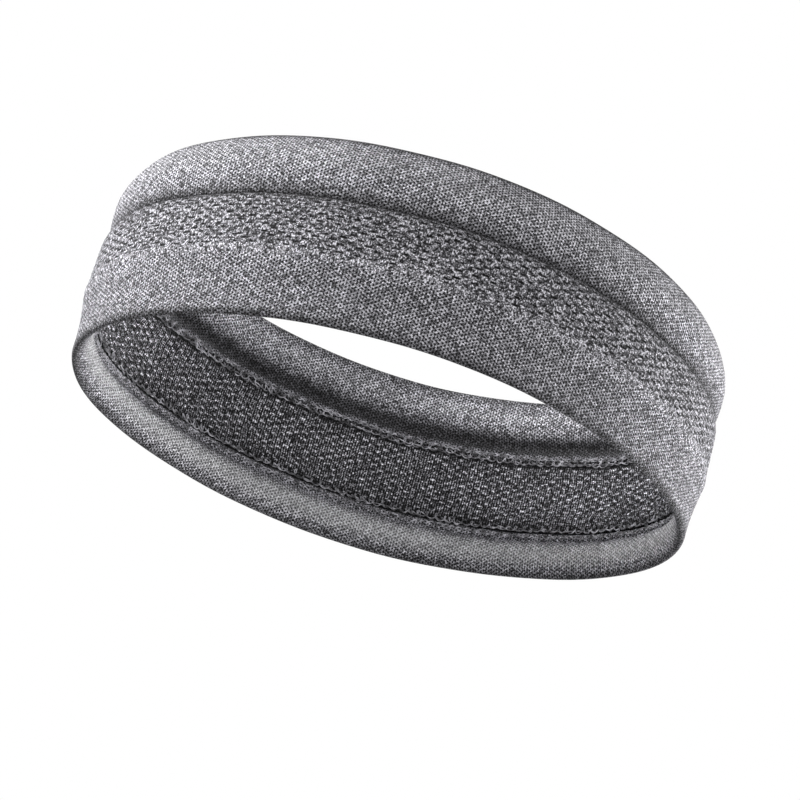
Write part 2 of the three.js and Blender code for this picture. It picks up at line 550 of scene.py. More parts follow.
@dataclass(frozen=True)
class Yarn:
    """Heather yarn: grey levels of its dark, middle and light fibres, and how they mix."""

    dark: float
    middle: float
    light: float
    seed: float = 0.0
    flecks: float = 5.0

    LEG_SHARE = 0.26
    FLECK_SHARE = 0.46
    FIBRE_SHARE = 0.36
    CLOUD_SHARE = 0.08
    BIAS = -0.10
    FIBRE_SCALE = 1900.0
    CLOUD_SCALE = 90.0
    FLECK_SEED = 9.0
    STOPS = (0.27, 0.50, 0.73)

    def stops(self, places: tuple) -> list:
        """Ramp stops of the three grey levels at these places."""
        return list(zip(places, (self.dark, self.middle, self.light)))

    def colour(self, graph: Graph, leg: object, row: object) -> bpy.types.NodeSocket:
        """Colour of the yarn at a stitch leg.

        Args:
            graph: Node builder.
            leg: Whole number of the leg round the loop.
            row: Whole number of the row.

        Returns:
            Colour socket.
        """
        across, along = graph.stitches()
        column, line = (graph.math("FLOOR", graph.times(way, self.flecks)) for way in (across, along))
        fleck = graph.dice(column, line, self.seed + self.FLECK_SEED)
        fibre = graph.noise(graph.place(), self.FIBRE_SCALE)
        cloud = graph.noise(graph.place(), self.CLOUD_SCALE)
        level = graph.add(
            graph.times(graph.dice(leg, row, self.seed), self.LEG_SHARE),
            graph.times(fleck, self.FLECK_SHARE),
            graph.times(fibre, self.FIBRE_SHARE),
            graph.times(cloud, self.CLOUD_SHARE),
            self.BIAS,
        )
        return graph.ramp(level, self.stops(self.STOPS))


@dataclass(frozen=True)
class Finish:
    """Material of one fabric or thread, spun from one yarn."""

    yarn: Yarn

    def dress(self, graph: Graph) -> None:
        """Adds this finish's nodes."""
        raise NotImplementedError

    def build(self, name: str) -> bpy.types.Material:
        """Makes the material.

        Args:
            name: The material's name.

        Returns:
            The material.
        """
        graph = Graph(name)
        self.dress(graph)
        return graph.material


@dataclass(frozen=True)
class JerseyFinish(Finish):
    """Plain jersey: columns of V-shaped stitches, with eyes between them in a six-sided lattice, painted
    dark.
    """

    slant: float = 0.85
    eye_rows: float = 0.5
    eye_depth: float = 0.98

    @staticmethod
    def _wave(graph: Graph, value: object) -> bpy.types.NodeSocket:
        """One cosine swing for each whole number."""
        return graph.math("COSINE", graph.times(value, 2 * math.pi))

    def legs(self, graph: Graph, across: object, along: object) -> tuple:
        """Works out the stitch legs.

        Args:
            graph: Node builder.
            across: Stitch columns round the loop.
            along: Stitch rows.

        Returns:
            Leg number, row number and relief sockets.
        """
        side = graph.math("ABSOLUTE", graph.add(graph.math("FRACT", across), -0.5))
        row = graph.add(along, graph.times(side, 2 * self.slant))
        ridge = graph.math("SINE", graph.times(graph.math("FRACT", row), math.pi))
        ditch = graph.fade(side, 0.5, 0.36)
        middle = graph.fade(side, 0.0, 0.11)
        beside = graph.add(graph.times(ditch, 0.85), 0.15)
        centre = graph.add(graph.times(middle, 0.35), 0.65)
        height = graph.times(ridge, beside, centre)
        courses = self._wave(graph, graph.times(along, self.eye_rows))
        lattice = graph.times(self._wave(graph, across), courses, 2.0)
        eye = graph.fade(graph.add(self._wave(graph, graph.times(across, 2.0)), lattice), -0.4, 1.7)
        open_weave = graph.add(graph.times(eye, -self.eye_depth), 1.0)
        height = graph.times(graph.add(graph.times(height, 0.45), 0.55), open_weave)
        return graph.math("FLOOR", graph.times(across, 2)), graph.math("FLOOR", row), height

    def dress(self, graph: Graph) -> None:
        """Adds this finish's nodes.

        Args:
            graph: Node builder.
        """
        across, along = graph.stitches()
        leg, row, height = self.legs(graph, across, along)
        # Colour follows the relief height: painted shade in the eyes and between the legs, lighter on the
        # raised legs.
        relief_shade = graph.add(graph.times(height, 1.55), 0.03)
        colour = graph.paint_shade_into(self.yarn.colour(graph, leg, row), relief_shade)
        roughness = graph.add(graph.times(height, -0.12), 0.95)
        graph.surface(colour, height, 0.25 * MM, roughness, 0.05)


@dataclass(frozen=True)
class TuckFinish(Finish):
    """Tuck knit: jersey with short sunken dashes laid like bricks, two stitches wide."""

    def dress(self, graph: Graph) -> None:
        """Adds this finish's nodes.

        Args:
            graph: Node builder.
        """
        across, along = graph.stitches()
        jersey = JerseyFinish(self.yarn, eye_depth=0.5)
        leg, row, stitch = jersey.legs(graph, graph.times(across, 2), graph.times(along, 4))
        odd = graph.math("FLOORED_MODULO", graph.math("FLOOR", across), 2.0)
        shifted = graph.add(along, graph.times(odd, 0.5))
        x = graph.math("ABSOLUTE", graph.add(graph.math("FRACT", across), -0.5))
        y = graph.add(graph.math("FRACT", shifted), -0.5)
        wander = graph.times(graph.add(graph.noise(graph.place(), 900.0, 1.0), -0.5), 0.10)
        line = graph.math("ABSOLUTE", graph.add(y, wander))
        dash = graph.times(graph.fade(x, 0.44, 0.36), graph.fade(line, 0.19, 0.10))
        above = graph.math("ABSOLUTE", graph.add(y, 0.27))
        swell = graph.times(graph.fade(x, 0.5, 0.25), graph.fade(above, 0.2, 0.0))
        brick = graph.dice(graph.math("FLOOR", across), graph.math("FLOOR", shifted), 5.0)
        strength = graph.add(graph.times(brick, 0.3), 0.7)
        plain = graph.fade(along, 2.1, 2.5)
        dash = graph.times(dash, strength, plain)
        swell = graph.times(swell, plain)
        height = graph.add(graph.times(stitch, 0.5), graph.times(swell, 0.45), graph.times(dash, -0.9))
        # Colour follows the relief: painted highlight on the swells, and painted shade, nearly black, in the
        # sunken dashes and between the stitches.
        relief_shade = graph.add(graph.times(stitch, 1.15), graph.times(swell, 0.25), 0.10)
        relief_shade = graph.times(relief_shade, graph.add(graph.times(dash, -0.97), 1.0))
        colour = graph.paint_shade_into(self.yarn.colour(graph, leg, row), relief_shade)
        graph.surface(colour, height, 0.28 * MM, graph.add(graph.times(dash, 0.05), 0.92), 0.05)


@dataclass(frozen=True)
class BasketFinish(Finish):
    """Back of the tuck knit: floats laid like bricks between upright gaps, with painted highlight on the
    floats and painted shade in the gaps.
    """

    def dress(self, graph: Graph) -> None:
        """Adds this finish's nodes.

        Args:
            graph: Node builder.
        """
        across, along = graph.stitches()
        odd = graph.math("FLOORED_MODULO", graph.math("FLOOR", across), 2.0)
        shifted = graph.add(along, graph.times(odd, 0.5))
        x = graph.math("ABSOLUTE", graph.add(graph.math("FRACT", across), -0.5))
        y = graph.math("ABSOLUTE", graph.add(graph.math("FRACT", shifted), -0.5))
        bar = graph.times(graph.fade(x, 0.46, 0.36), graph.fade(y, 0.20, 0.10))
        between = graph.math("ABSOLUTE", graph.add(x, -0.17))
        gap = graph.math("MAXIMUM", graph.fade(x, 0.37, 0.47), graph.fade(between, 0.12, 0.04))
        gap = graph.times(gap, graph.add(graph.times(bar, -0.5), 1.0))
        rung = graph.math("SINE", graph.times(graph.math("FRACT", graph.times(along, 4)), math.pi))
        rib = graph.times(graph.add(graph.times(gap, -1.0), 1.0), graph.add(graph.times(rung, 0.60), 0.40))
        height = graph.add(graph.times(rib, 0.6), graph.times(bar, 0.4))
        leg = graph.math("FLOOR", graph.times(across, 4))
        row = graph.math("FLOOR", graph.times(shifted, 4))
        # Colour follows the relief: painted shade in the gaps and on the low rungs, painted highlight on the
        # raised floats.
        relief_shade = graph.times(rib, graph.add(graph.times(bar, 1.5), 1.05))
        colour = graph.paint_shade_into(self.yarn.colour(graph, leg, row), relief_shade)
        graph.surface(colour, height, 0.35 * MM, graph.add(graph.times(height, -0.08), 0.97), 0.05)


@dataclass(frozen=True)
class ThreadFinish(Finish):
    """Textured sewing thread with light and dark plies."""

    def dress(self, graph: Graph) -> None:
        """Adds this finish's nodes.

        Args:
            graph: Node builder.
        """
        ply = graph.noise(graph.place(), 3200.0, 2.0)
        slow = graph.noise(graph.place(), 500.0, 1.0)
        level = graph.add(graph.times(ply, 0.6), graph.times(slow, 1.3), -0.45)
        colour = graph.ramp(level, self.yarn.stops((0.25, 0.5, 0.75)))
        graph.surface(colour, ply, 0.1 * MM, graph.add(graph.times(ply, 0.2), 0.65), 0.3)


@dataclass(frozen=True)
class ElasticFinish(Finish):
    """Woven elastic: covered rubber cords lying side by side along the tape."""

    def dress(self, graph: Graph) -> None:
        """Adds this finish's nodes.

        Args:
            graph: Node builder.
        """
        across, along = graph.stitches()
        cord = graph.math("SINE", graph.times(graph.math("FRACT", along), math.pi))
        pick = graph.math("SINE", graph.times(graph.math("FRACT", across), math.pi))
        height = graph.times(cord, graph.add(graph.times(pick, 0.4), 0.6))
        fuzz = graph.noise(graph.place(), 1500.0)
        # Colour follows the cords' relief: painted shade between the cords, lighter on their tops, with fuzz
        # mixed in.
        level = graph.add(graph.times(height, 0.7), graph.times(fuzz, 0.4), -0.1)
        colour = graph.ramp(level, self.yarn.stops((0.0, 0.5, 1.0)))
        graph.surface(colour, height, 0.2 * MM, graph.add(graph.times(pick, -0.1), 0.85), 0.1)


@dataclass
class KnitRing:
    """A strip of fabric closed into a loop, with its stitches counted by its UV map.

    The sizes that a piece is given are in millimetres, and what is worked out from them is in metres.
    """

    oval: HeadOval
    name: str
    node: str
    slot: Slot
    finish: Finish
    thickness: float = 1.1
    stations: int = 864
    pitch: float = 0.6
    back_pitch: float = 2.0
    column: float = 1.8
    row: float = 0.56
    bake_rows: int = 4
    relief_depth: float = 0.0
    relief_edge: float = 1.5
    # Painted shade by height on the outer and inner side: pairs of height in millimetres and a colour factor,
    # below 1 darker, above 1 lighter.
    outer_painted_shades: tuple = ((0.0, 1.0), (60.0, 1.0))
    inner_painted_shades: tuple = ((0.0, 1.0), (60.0, 1.0))
    anchors: Anchors = field(init=False)
    visible_length: float = field(init=False)

    # Shares of a row of the bake map: the visible side, the hidden side, and the margin under both.
    FRONT_SHARE = 0.9
    BACK_SHARE = 0.08
    MARGIN = 0.01

    def __post_init__(self) -> None:
        """Keeps the shared places at hand."""
        self.anchors = self.oval.anchors

    def profile(self) -> Profile:
        """The visible line of the cross-section, with the fabric to its left."""
        raise NotImplementedError

    def relief(self, columns: np.ndarray, rows: np.ndarray) -> np.ndarray:
        """Height of the knit's own relief, from -1 to 1, in stitch coordinates."""
        return np.zeros_like(columns)

    def fold(self, up: np.ndarray) -> int:
        """Index of the visible point where the outer side ends."""
        return len(up)

    def painted_shades(self, visible: int, up: np.ndarray) -> np.ndarray:
        """Painted shade and painted highlight of each outline point, by height: darker in folds, lighter on
        crests.

        Args:
            visible: Number of visible points.
            up: Height of every outline point, in metres.

        Returns:
            One factor for each point.
        """
        heights = up / MM
        outer, inner = (np.interp(heights, *np.array(x).T) for x in (self.outer_painted_shades, self.inner_painted_shades))
        fold = self.fold(up[:visible])
        return np.where(self.is_outer(np.arange(len(up)), fold), outer, inner)

    @staticmethod
    def is_outer(index: np.ndarray, fold: int) -> np.ndarray:
        """Whether each point lies before the fold."""
        return index < fold

    def columns_round(self) -> int:
        """Stitch columns round the loop, an even number so that bricks meet."""
        return 2 * round(self.oval.length / (self.column * MM) / 2)

    def outline(self) -> tuple[np.ndarray, np.ndarray, int]:
        """Closed cross-section.

        Returns:
            Points in metres, distance of each along the line in metres, and how many are visible.
        """
        front = self.profile().spaced(self.pitch)
        back = self.profile().spaced(self.back_pitch, self.thickness)[::-1]
        points = np.concatenate([front, back]) * MM
        along = np.concatenate([[0], np.cumsum(np.hypot(*np.diff(points, axis=0).T))])
        return points, along, len(front)

    def _spun(self) -> tuple[bpy.types.Mesh, float]:
        """Turns the outline into a ring round the Z axis, as wide as the loop is long.

        Returns:
            The mesh, and the length of the whole outline.
        """
        radius = self.anchors.half_length
        points, along, visible = self.outline()
        whole = float(along[-1] + np.hypot(*(points[0] - points[-1])))
        made = bmesh.new()
        layer = made.verts.layers.float.new(ALONG)
        # Each vertex carries its painted shade factor for the material.
        painted_shade = made.verts.layers.float.new(PAINTED_SHADE_ATTRIBUTE)
        ring = [made.verts.new((radius + out, 0, up)) for out, up in points]
        for vertex, distance, shade in zip(ring, along, self.painted_shades(visible, points[:, 1])):
            vertex[layer] = distance
            vertex[painted_shade] = shade
        edges = [made.edges.new((ring[k], ring[(k + 1) % len(ring)])) for k in range(len(ring))]
        turned = dict(cent=(0, 0, 0), axis=(0, 0, 1), dvec=(0, 0, 0), use_merge=False, use_normal_flip=False)
        sector = 2 * math.pi / SECTORS
        steps = self.stations // SECTORS
        bmesh.ops.spin(made, geom=ring + edges, angle=sector, steps=steps, use_duplicate=False, **turned)
        first = made.verts[:] + made.edges[:] + made.faces[:]
        rest = SECTORS - 1
        bmesh.ops.spin(made, geom=first, angle=sector * rest, steps=rest, use_duplicate=True, **turned)
        bmesh.ops.remove_doubles(made, verts=made.verts[:], dist=MERGE)
        bmesh.ops.recalc_face_normals(made, faces=made.faces)
        mesh = bpy.data.meshes.new(self.name)
        made.to_mesh(mesh)
        made.free()
        self.visible_length = float(along[visible - 1])
        return mesh, whole

    def _map(self, mesh: bpy.types.Mesh, turn: np.ndarray, along: np.ndarray, whole: float) -> None:
        """Gives the mesh its stitch map and a bake map that stacks the loop in rows.

        Args:
            mesh: The ring.
            turn: Each vertex's share of the way round.
            along: Each vertex's distance along the outline.
            whole: Length of the whole outline.
        """
        corners = np.zeros(len(mesh.loops), np.int32)
        mesh.loops.foreach_get("vertex_index", corners)
        turns = turn[corners].reshape(-1, 4)
        rows = along[corners].reshape(-1, 4)
        turns = turns + (np.ptp(turns, axis=1, keepdims=True) > 0.5) * (turns < 0.5)
        rows = rows + (np.ptp(rows, axis=1, keepdims=True) > whole / 2) * (rows < whole / 2) * whole
        stitches = np.stack([turns * self.columns_round(), rows / (self.row * MM)], -1)
        layer = mesh.uv_layers.new(name=STITCH_MAP)
        layer.uv.foreach_set("vector", stitches.astype(np.float32).ravel())
        segment = np.floor(turns.mean(1, keepdims=True) * self.bake_rows)
        front = self.visible_length
        hidden = self.FRONT_SHARE + (rows - front) / (whole - front) * self.BACK_SHARE
        share = np.where(rows <= front, rows / front * self.FRONT_SHARE, hidden)
        height = (segment + self.MARGIN + share) / self.bake_rows
        packed = np.stack([turns * self.bake_rows - segment, height], -1)
        layer = mesh.uv_layers.new(name=BAKE_MAP)
        layer.uv.foreach_set("vector", packed.astype(np.float32).ravel())
        mesh.uv_layers.active = mesh.uv_layers[STITCH_MAP]

    def build(self) -> bpy.types.Object:
        """Makes the piece, in place and dressed.

        Returns:
            The finished object.
        """
        mesh, whole = self._spun()
        place = np.zeros(len(mesh.vertices) * 3, np.float32)
        mesh.vertices.foreach_get("co", place)
        place = place.reshape(-1, 3).astype(float)
        along = np.zeros(len(mesh.vertices), np.float32)
        mesh.attributes[ALONG].data.foreach_get("value", along)
        mesh.attributes.remove(mesh.attributes[ALONG])
        turn = (np.arctan2(place[:, 1], place[:, 0]) / (2 * math.pi)) % 1.0
        turn[turn > 1 - 0.25 / self.stations] = 0.0
        out = np.hypot(place[:, 0], place[:, 1]) - self.anchors.half_length
        self._map(mesh, turn, along.astype(float), whole)
        self._lay(mesh, turn, out, place[:, 2], along)
        piece = put(self.name, mesh)
        mesh.shade_smooth()
        mesh.materials.append(self.finish.build(self.name + "_finish"))
        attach(piece, "root")
        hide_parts(self.node)
        self.declare(piece)
        return piece

    def _lay(
        self, mesh: bpy.types.Mesh, turn: np.ndarray, out: np.ndarray, up: np.ndarray, along: np.ndarray
    ) -> None:
        """Lays the ring on the oval and raises the knit's relief on its visible side.

        Args:
            mesh: The ring.
            turn: Each vertex's share of the way round.
            out: Each vertex's distance outside the face.
            up: Each vertex's height.
            along: Each vertex's distance along the outline.
        """
        place = self.oval.place(turn, out, up)
        mesh.vertices.foreach_set("co", place.astype(np.float32).ravel())
        mesh.update()
        if self.relief_depth:
            normals = np.zeros(len(mesh.vertices) * 3, np.float32)
            mesh.vertex_normals.foreach_get("vector", normals)
            height = self.relief(turn * self.columns_round(), along / (self.row * MM))
            inside = np.minimum(along, self.visible_length - along)
            edge = np.clip(inside / (self.relief_edge * MM), 0, 1)
            move = height * edge * self.relief_depth * MM
            place += normals.reshape(-1, 3) * move[:, None]
            mesh.vertices.foreach_set("co", place.astype(np.float32).ravel())
            mesh.update()

    def declare(self, piece: bpy.types.Object) -> None:
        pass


@dataclass
class TopHem(KnitRing):
    """Upper hem: jersey rolled over, from the groove outside to the upper seam inside."""

    # Painted shade by height. Outside: painted shade in the groove and a dark painted line at the top rim, a
    # painted highlight on the crest. Inside: painted shade along the seam and under the roll, a painted
    # highlight on the inner crest.
    outer_painted_shades: tuple = (
        (38.4, 0.20), (39.4, 0.34), (41.0, 0.66), (44.0, 0.96), (48.0, 1.16), (55.0, 1.24), (57.4, 1.02),
        (58.4, 0.50), (59.2, 0.20),
    )
    inner_painted_shades: tuple = (
        (39.1, 0.05), (40.4, 0.12), (40.9, 0.60), (41.7, 0.60), (42.3, 0.25), (43.2, 0.13), (45.8, 0.13),
        (46.8, 0.36), (48.2, 0.62), (50.5, 1.02), (54.0, 1.20), (57.0, 0.85), (59.5, 0.40),
    )

    def fold(self, up: np.ndarray) -> int:
        """The outer side ends at the top."""
        return int(np.argmax(up))

    def profile(self) -> Profile:
        """From behind the groove, over the crest and the upper fold, down to the seam.

        Returns:
            The line, in millimetres.
        """
        a = self.anchors
        groove, top, seam, crest = a.groove / MM, a.top / MM, a.upper_seam / MM, a.crest_out / MM
        line = Profile(-3.3, groove + 0.05)
        line.line(-1.9, groove + 0.05)
        line.curve((-1.4, groove + 0.9), (crest - 0.9, top - 17.2), (crest - 0.9, top - 11.4))
        line.curve((crest - 0.9, top - 7.2), (-4.1, top), (-6.1, top))
        line.curve((-7.0, top), (-7.6, top - 2.8), (-7.6, top - 6.2))
        line.curve((-7.6, top - 10.6), (-7.0, top - 13.0), (-5.0, top - 13.8))
        line.curve((-3.9, top - 14.2), (-3.6, top - 14.8), (-3.6, top - 15.8))
        line.curve((-3.6, top - 16.8), (-4.4, top - 17.0), (-4.5, top - 18.0))
        line.line(-4.5, seam + 1.6)
        line.curve((-4.5, seam + 0.8), (-4.1, seam + 0.12), (-3.3, seam + 0.06))
        return line


@dataclass
class BottomHem(KnitRing):
    """Lower hem: jersey folded under, from the lower seam inside to the welt outside."""

    # Painted shade by height: darker at the bottom fold and along the seam, and inside a painted highlight of
    # up to 2.6 times on the crest.
    outer_painted_shades: tuple = ((0.0, 0.26), (1.0, 0.36), (2.2, 0.70), (6.0, 0.79), (15.0, 0.80), (17.6, 0.98))
    inner_painted_shades: tuple = (
        (0.0, 0.30), (0.8, 0.45), (2.2, 0.95), (4.2, 1.75), (7.0, 2.60), (9.2, 2.10), (11.2, 1.05),
        (13.0, 0.75), (14.0, 1.15), (14.7, 0.95), (15.3, 0.35),
    )

    @staticmethod
    def is_outer(index: np.ndarray, fold: int) -> np.ndarray:
        """The outer side comes after the fold."""
        return index >= fold

    def fold(self, up: np.ndarray) -> int:
        """The outer side begins at the bottom."""
        return int(np.argmin(up))

    def profile(self) -> Profile:
        """From the seam, over the inner crest, under the fold and up to the welt.

        Returns:
            The line, in millimetres.
        """
        seam, welt = self.anchors.lower_seam / MM, self.anchors.welt / MM
        line = Profile(-3.3, seam - 0.06)
        line.curve((-4.0, seam - 0.12), (-4.3, seam - 0.8), (-4.3, seam - 1.6))
        line.line(-4.1, seam - 2.6)
        line.curve((-4.1, seam - 4.0), (-6.3, seam - 3.8), (-6.5, seam - 7.0))
        line.curve((-6.5, 5.0), (-5.4, 2.4), (-4.2, 0.7))
        line.curve((-3.9, 0.25), (-3.6, 0.0), (-3.2, 0.0))
        line.curve((-2.5, 0.0), (-2.2, 0.8), (-2.2, 2.1))
        line.curve((-2.2, 6.8), (-1.5, welt - 6.5), (-0.8, welt - 2.5))
        line.curve((-0.6, welt - 1.6), (-0.45, welt - 0.8), (-0.3, welt)).corner()
        line.line(-2.9, welt)
        return line


@dataclass
class CentreBand(KnitRing):
    """Outer centre band in tuck knit, turned in at the welt and at the groove."""

    # Painted shade by height: a painted highlight on the welt's ridge, and painted shade darkening into the
    # groove.
    outer_painted_shades: tuple = (
        (18.0, 0.95), (19.0, 1.06), (20.4, 1.02), (22.0, 0.94), (33.0, 0.90), (36.0, 0.75), (37.4, 0.50),
        (38.2, 0.20),
    )

    def profile(self) -> Profile:
        """From the welt's raised edge up to the groove.

        Returns:
            The line, in millimetres.
        """
        welt, groove = self.anchors.welt / MM, self.anchors.groove / MM
        line = Profile(-2.9, welt + 0.04)
        line.line(-0.3, welt + 0.04).corner()
        line.curve((-0.2, welt + 0.5), (0.0, welt + 0.8), (0.0, welt + 1.6))
        line.curve((0.0, welt + 2.4), (-0.2, welt + 2.8), (-0.2, welt + 3.8))
        line.line(-0.2, groove - 5.4)
        line.curve((-0.2, groove - 2.6), (-0.8, groove - 0.7), (-1.9, groove - 0.05))
        line.line(-3.3, groove - 0.05)
        return line

    def relief(self, columns: np.ndarray, rows: np.ndarray) -> np.ndarray:
        """Bricks that swell between sunken dashes.

        Args:
            columns: Stitch columns round the loop.
            rows: Stitch rows along the profile.

        Returns:
            Height at each place, from -1 to 1.
        """
        shifted = rows + 0.5 * (np.floor(columns) % 2)
        x = np.abs(columns % 1 - 0.5)
        y = shifted % 1 - 0.5
        dash = np.exp(-((y / 0.11) ** 2)) * np.clip((0.46 - x) / 0.14, 0, 1)
        swell = np.exp(-(((y + 0.27) / 0.2) ** 2)) * np.cos(math.pi * np.clip(x, 0, 0.5))
        return (0.55 * swell - dash) * np.clip((rows - 2.1) / 0.4, 0, 1)


@dataclass
class SweatLiner(KnitRing):
    """Basket-knit liner between the two inside seams."""

    # Painted shade by height: dark along both seams, behind the seam loops, and full lightness on the liner's
    # face.
    outer_painted_shades: tuple = (
        (15.5, 0.06), (16.8, 0.16), (17.9, 0.65), (19.0, 0.85), (22.0, 0.95), (33.0, 0.98), (36.5, 0.85),
        (37.6, 0.65), (38.2, 0.18), (38.9, 0.08),
    )

    def profile(self) -> Profile:
        """From the upper seam down to the lower seam, on the side that faces the head.

        Returns:
            The line, in millimetres.
        """
        upper, lower = self.anchors.upper_seam / MM, self.anchors.lower_seam / MM
        line = Profile(-3.3, upper - 0.06)
        line.curve((-4.1, upper - 0.12), (-4.4, upper - 0.8), (-4.4, upper - 1.6))
        line.line(-4.4, upper - 2.5)
        line.curve((-4.4, upper - 4.5), (-3.4, upper - 4.5), (-3.4, upper - 6.5))
        line.line(-3.4, lower + 8.3)
        line.curve((-3.4, lower + 6.3), (-4.4, lower + 6.3), (-4.4, lower + 4.3))
        line.line(-4.4, lower + 1.6)
        line.curve((-4.4, lower + 0.8), (-4.1, lower + 0.12), (-3.3, lower + 0.06))
        return line

    def relief(self, columns: np.ndarray, rows: np.ndarray) -> np.ndarray:
        """Floats that stand proud of upright ribs, with gaps between the ribs.

        Args:
            columns: Stitch columns round the loop.
            rows: Stitch rows along the profile.

        Returns:
            Height at each place, from -1 to 1.
        """
        shifted = rows + 0.5 * (np.floor(columns) % 2)
        x = np.abs(columns % 1 - 0.5)
        y = np.abs(shifted % 1 - 0.5)
        bar = np.clip((0.44 - x) / 0.1, 0, 1) * np.exp(-((y / 0.15) ** 2))
        gap = np.exp(-(((x - 0.5) / 0.09) ** 2)) + np.exp(-(((x - 0.17) / 0.09) ** 2))
        return bar - 0.8 * gap * (1 - bar)


@dataclass
class ElasticTape(KnitRing):
    """Flat elastic tape inside a hem, against the inside of its outer leg."""

    hem: KnitRing | None = None
    gap: float = 0.3
    start: float = 5.0
    width: float = 12.0
    down: bool = False

    LEG_PITCH = 0.25

    def profile(self) -> Profile:
        """The tape's inner face, beside the hem's outer leg.

        Returns:
            The line, in millimetres.
        """
        inset = self.hem.thickness + self.gap + self.thickness
        leg = self.hem.profile().spaced(self.LEG_PITCH, inset)
        if self.down:
            leg = leg[::-1]
        walked = np.concatenate([[0], np.cumsum(np.hypot(*np.diff(leg, axis=0).T))])
        stretch = leg[(walked >= self.start) & (walked <= self.start + self.width)]
        if not self.down:
            stretch = stretch[::-1]
        line = Profile(*stretch[0])
        line.points = list(stretch)
        return line

    def declare(self, piece: bpy.types.Object) -> None:
        """Declares nothing: a narrow woven tape isn't a sheet of cloth."""


@dataclass
class SeamThread:
    """Closed threads of a seam, on the inner face.

    The height and the distance out are in metres, and the sizes of a stitch are in millimetres.
    """

    oval: HeadOval
    name: str
    node: str
    finish: ThreadFinish
    height: float
    out: float
    pitch: float = 2.4
    rise: float = 1.0
    swing: float = 0.8
    diameter: float = 0.32
    steps: int = 9
    seed: int = 1
    chance: np.random.Generator = field(init=False)

    # Least and most of what changes from stitch to stitch. A share is of the swing or the rise, the lean is
    # in stitches, and the lift and the needle's distance out are in millimetres.
    SWING_SHARE = (0.35, 1.35)
    RISE_SHARE = (0.45, 1.25)
    LIFT = (-0.3, 0.3)
    NEEDLE_LEAN = (-0.3, 0.3)
    NEEDLE_SHARE = (-0.2, 1.0)
    NEEDLE_OUT = (-0.5, 0.7)

    def _drift(self, phase: np.ndarray, low: float, high: float) -> np.ndarray:
        """A number that changes at random from one stitch to the next.

        Args:
            phase: Stitches walked at each point.
            low: Least number.
            high: Greatest number.

        Returns:
            The number at each point.
        """
        loops = math.ceil(phase[-1])
        marks = self.chance.uniform(low, high, loops)
        return np.interp(phase, np.arange(loops + 1), np.append(marks, marks[0]))

    def routes(self) -> list:
        """Lays out the looper thread, a curl in each stitch, and the needle thread that crosses it.

        Returns:
            One array of points for each thread.
        """
        self.chance = np.random.default_rng(self.seed)
        loops = round(self.oval.length / (self.pitch * MM))
        phase = np.arange(loops * self.steps) / self.steps
        angle = 2 * math.pi * phase
        sweep = self.swing * self._drift(phase, *self.SWING_SHARE) * np.sin(angle) / self.pitch
        rise = self.rise * self._drift(phase, *self.RISE_SHARE) * np.cos(angle)
        rise += self._drift(phase, *self.LIFT)
        out = self.out + MM * (0.16 * np.cos(angle + 0.8) - 0.45)
        curl = self.oval.place((phase - sweep) / loops % 1.0, out, self.height + MM * rise)
        lean = self._drift(phase, *self.NEEDLE_LEAN) - 0.3 * np.sin(angle)
        cross = self.rise * self._drift(phase, *self.NEEDLE_SHARE) * np.cos(angle + 1.4)
        out = self.out + MM * (self._drift(phase, *self.NEEDLE_OUT) + 0.14 * np.sin(angle))
        needle = self.oval.place((phase + 0.5 + lean) / loops % 1.0, out, self.height + MM * cross)
        return [curl, needle]

    def build(self) -> bpy.types.Object:
        """Makes the thread as a closed tube.

        Returns:
            The finished object.
        """
        piece = tube(self.name, self.routes(), self.diameter * MM / 2)
        piece.data.materials.append(self.finish.build(self.name + "_finish"))
        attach(piece, "root")
        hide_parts(self.node)
        return piece


@dataclass
class ChainThread(SeamThread):
    """Straight stitching beside a row of loops: two strands that wander a little."""

    steps: int = 4
    spread: float = 0.7

    def routes(self) -> list:
        """Lays out both strands.

        Returns:
            One array of points for each strand.
        """
        loops = round(self.oval.length / (self.pitch * MM))
        phase = np.arange(loops * self.steps) / self.steps
        out = np.full(len(phase), self.out - 0.25 * MM) + 0.08 * MM * np.cos(2 * math.pi * phase)
        strands = []
        for index in (0, 1):
            sway = 0.26 * np.sin(2 * math.pi * phase + 2.0 * index)
            sway += 0.16 * np.sin(phase * 0.9 + index)
            up = self.height + MM * (sway + self.spread * (index - 0.5))
            strands.append(self.oval.place(phase / loops, out, up))
        return strands


def tube(name: str, routes: list, radius: float) -> bpy.types.Object:
    """Closed round tubes along closed routes.

    Args:
        name: Name of the piece.
        routes: Arrays of points, one for each tube.
        radius: Radius of the tubes.

    Returns:
        A mesh object.
    """
    curve = bpy.data.curves.new(name + "_line", "CURVE")
    curve.dimensions = "3D"
    curve.bevel_depth = radius
    curve.bevel_resolution = 1
    for route in routes:
        spline = curve.splines.new("POLY")
        spline.points.add(len(route) - 1)
        spline.points.foreach_set("co", np.column_stack([route, np.ones(len(route))]).ravel())
        spline.use_cyclic_u = True
    line = put(name + "_line", curve)
    mesh = bpy.data.meshes.new_from_object(line.evaluated_get(bpy.context.evaluated_depsgraph_get()))
    bpy.data.objects.remove(line)
    mesh.materials.clear()
    mesh.shade_smooth()
    return put(name, mesh)


